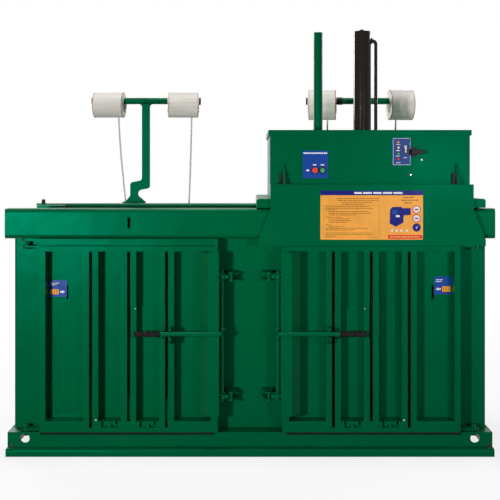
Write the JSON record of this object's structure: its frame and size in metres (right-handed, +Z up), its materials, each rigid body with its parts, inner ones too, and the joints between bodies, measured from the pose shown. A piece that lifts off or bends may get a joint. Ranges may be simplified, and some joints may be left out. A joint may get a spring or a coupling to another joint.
{
  "type": "recycling baler",
  "caption": "Twin chamber vertical baler with hinged lockable doors, a rail-mounted press head that slides between chambers, and strap reels on rear stands.",
  "frame": {"origin": "on the floor, in the middle of the base, at the underside of the centre cross beam", "axes": "+X to the right seen from the front, +Y towards the back, +Z up"},
  "size_m": [2.206, 0.9722, 1.959],
  "materials": {
    "green_paint": "semi-gloss machine paint",
    "lever_paint": "semi-gloss machine paint",
    "bright_steel": "zinc plated",
    "polished_rod": "hard chrome",
    "black_paint": "gloss",
    "motor_grey": "semi-gloss",
    "black_plastic": "matte",
    "red_plastic": "gloss",
    "green_plastic": "gloss",
    "white_plastic": "gloss",
    "black_rubber": "matte",
    "strap": "woven polyester",
    "strap_winding": "wound woven polyester strap on a cardboard core"
  },
  "bodies": {
    "base": {"base_front_beam": "green_paint", "base_rear_beam": "green_paint", "base_cross_beams": "green_paint", "floor_plate": "green_paint", "front_left_post": "green_paint", "front_right_post": "green_paint", "rear_posts": "green_paint", "left_side_wall": "green_paint", "right_side_wall": "green_paint", "left_rear_wall": "green_paint", "right_rear_wall": "green_paint", "partition": "green_paint", "centre_panels": "green_paint", "lock_keepers": "green_paint", "front_rail": "green_paint", "rear_rail": "green_paint", "door_header": "green_paint", "hinge_pins": "green_paint", "left_reel_stand": "green_paint", "right_reel_stand": "green_paint", "stand_end_caps": "black_plastic", "strap_tail_1": "strap", "strap_tail_2": "strap", "strap_tail_3": "strap", "strap_tail_4": "strap"},
    "left_door": {"left_door": "green_paint", "left_lock_cover": "green_paint"},
    "right_door": {"right_door": "green_paint", "right_lock_cover": "green_paint"},
    "left_lock": {"left_lock_bar": "lever_paint", "left_lever_grip": "black_rubber"},
    "right_lock": {"right_lock_bar": "lever_paint", "right_lever_grip": "black_rubber"},
    "head": {"left_end_carriage": "green_paint", "right_end_carriage": "green_paint", "head_deck": "green_paint", "front_hood": "green_paint", "head_cabinet": "green_paint", "head_lid": "green_paint", "press_cylinder": "black_paint", "cylinder_pipe": "black_paint", "hydraulic_tank": "black_paint", "pump_motor": "motor_grey", "panel_fittings": "black_plastic"},
    "platen": {"press_platen": "green_paint", "piston_rod": "polished_rod", "guide_tube": "green_paint"},
    "front_left_roller": {"front_left_roller": "bright_steel"},
    "front_right_roller": {"front_right_roller": "bright_steel"},
    "rear_left_roller": {"rear_left_roller": "bright_steel"},
    "rear_right_roller": {"rear_right_roller": "bright_steel"},
    "head_latch": {"head_latch": "green_paint"},
    "stop_button": {"stop_button": "red_plastic"},
    "start_button": {"start_button": "green_plastic"},
    "main_switch": {"main_switch": "black_plastic"},
    "toggle_switch": {"toggle_switch": "white_plastic"},
    "left_outer_reel": {"left_outer_reel": "strap_winding"},
    "left_inner_reel": {"left_inner_reel": "strap_winding"},
    "right_inner_reel": {"right_inner_reel": "strap_winding"},
    "right_outer_reel": {"right_outer_reel": "strap_winding"}
  },
  "joints": [
    {"name": "left_door_hinge", "type": "hinge", "parent": "base", "child": "left_door", "pos_m": [-1.0135, -0.315, 0.1], "axis": [0, 0, 1], "range_deg": [-120, 0]},
    {"name": "right_door_hinge", "type": "hinge", "parent": "base", "child": "right_door", "pos_m": [1.0135, -0.315, 0.1], "axis": [0, 0, 1], "range_deg": [0, 120]},
    {"name": "left_lock_turn", "type": "hinge", "parent": "left_door", "child": "left_lock", "pos_m": [-0.126, -0.365, 0.553], "axis": [0, 0, 1], "range_deg": [0, 95]},
    {"name": "right_lock_turn", "type": "hinge", "parent": "right_door", "child": "right_lock", "pos_m": [0.126, -0.365, 0.553], "axis": [0, 0, 1], "range_deg": [-95, 0]},
    {"name": "head_slide", "type": "slide", "parent": "base", "child": "head", "axis": [1, 0, 0], "range_m": [-1.088, 0]},
    {"name": "platen_slide", "type": "slide", "parent": "head", "child": "platen", "axis": [0, 0, 1], "range_m": [-0.65, 0]},
    {"name": "front_left_roller_spin", "type": "hinge", "parent": "head", "child": "front_left_roller", "pos_m": [0.063, -0.312, 1.1243], "axis": [0, 1, 0], "range_deg": [-3480, 20]},
    {"name": "front_right_roller_spin", "type": "hinge", "parent": "head", "child": "front_right_roller", "pos_m": [1.025, -0.312, 1.1243], "axis": [0, 1, 0], "range_deg": [-3480, 20]},
    {"name": "rear_left_roller_spin", "type": "hinge", "parent": "head", "child": "rear_left_roller", "pos_m": [0.063, 0.34, 1.1243], "axis": [0, 1, 0], "range_deg": [-3480, 20]},
    {"name": "rear_right_roller_spin", "type": "hinge", "parent": "head", "child": "rear_right_roller", "pos_m": [1.025, 0.34, 1.1243], "axis": [0, 1, 0], "range_deg": [-3480, 20]},
    {"name": "latch_slide", "type": "slide", "parent": "head", "child": "head_latch", "axis": [0, 1, 0], "range_m": [0, 0.012]},
    {"name": "stop_press", "type": "slide", "parent": "head", "child": "stop_button", "axis": [0, 1, 0], "range_m": [0, 0.004], "stiffness_N_per_m": 500},
    {"name": "start_press", "type": "slide", "parent": "head", "child": "start_button", "axis": [0, 1, 0], "range_m": [0, 0.004], "stiffness_N_per_m": 500},
    {"name": "main_switch_turn", "type": "hinge", "parent": "head", "child": "main_switch", "pos_m": [0.743, -0.33, 1.361], "axis": [0, 1, 0], "range_deg": [-90, 0]},
    {"name": "toggle_tilt", "type": "hinge", "parent": "head", "child": "toggle_switch", "pos_m": [0.705, -0.3263, 1.361], "axis": [1, 0, 0], "range_deg": [0, 50]},
    {"name": "left_outer_reel_spin", "type": "hinge", "parent": "base", "child": "left_outer_reel", "pos_m": [-0.549, 0.43, 1.6223], "axis": [-0.9962, 0.0872, 0], "continuous": true},
    {"name": "left_inner_reel_spin", "type": "hinge", "parent": "base", "child": "left_inner_reel", "pos_m": [-0.549, 0.43, 1.6223], "axis": [0.9962, 0.0872, 0], "continuous": true},
    {"name": "right_inner_reel_spin", "type": "hinge", "parent": "base", "child": "right_inner_reel", "pos_m": [0.585, 0.43, 1.6223], "axis": [-0.9962, 0.0872, 0], "continuous": true},
    {"name": "right_outer_reel_spin", "type": "hinge", "parent": "base", "child": "right_outer_reel", "pos_m": [0.585, 0.43, 1.6223], "axis": [0.9962, 0.0872, 0], "continuous": true}
  ],
  "couplings": [
    {"joint": "front_left_roller_spin", "follows": "head_slide", "rad_per_m": 55.556},
    {"joint": "front_right_roller_spin", "follows": "head_slide", "rad_per_m": 55.556},
    {"joint": "rear_left_roller_spin", "follows": "head_slide", "rad_per_m": 55.556},
    {"joint": "rear_right_roller_spin", "follows": "head_slide", "rad_per_m": 55.556}
  ]
}
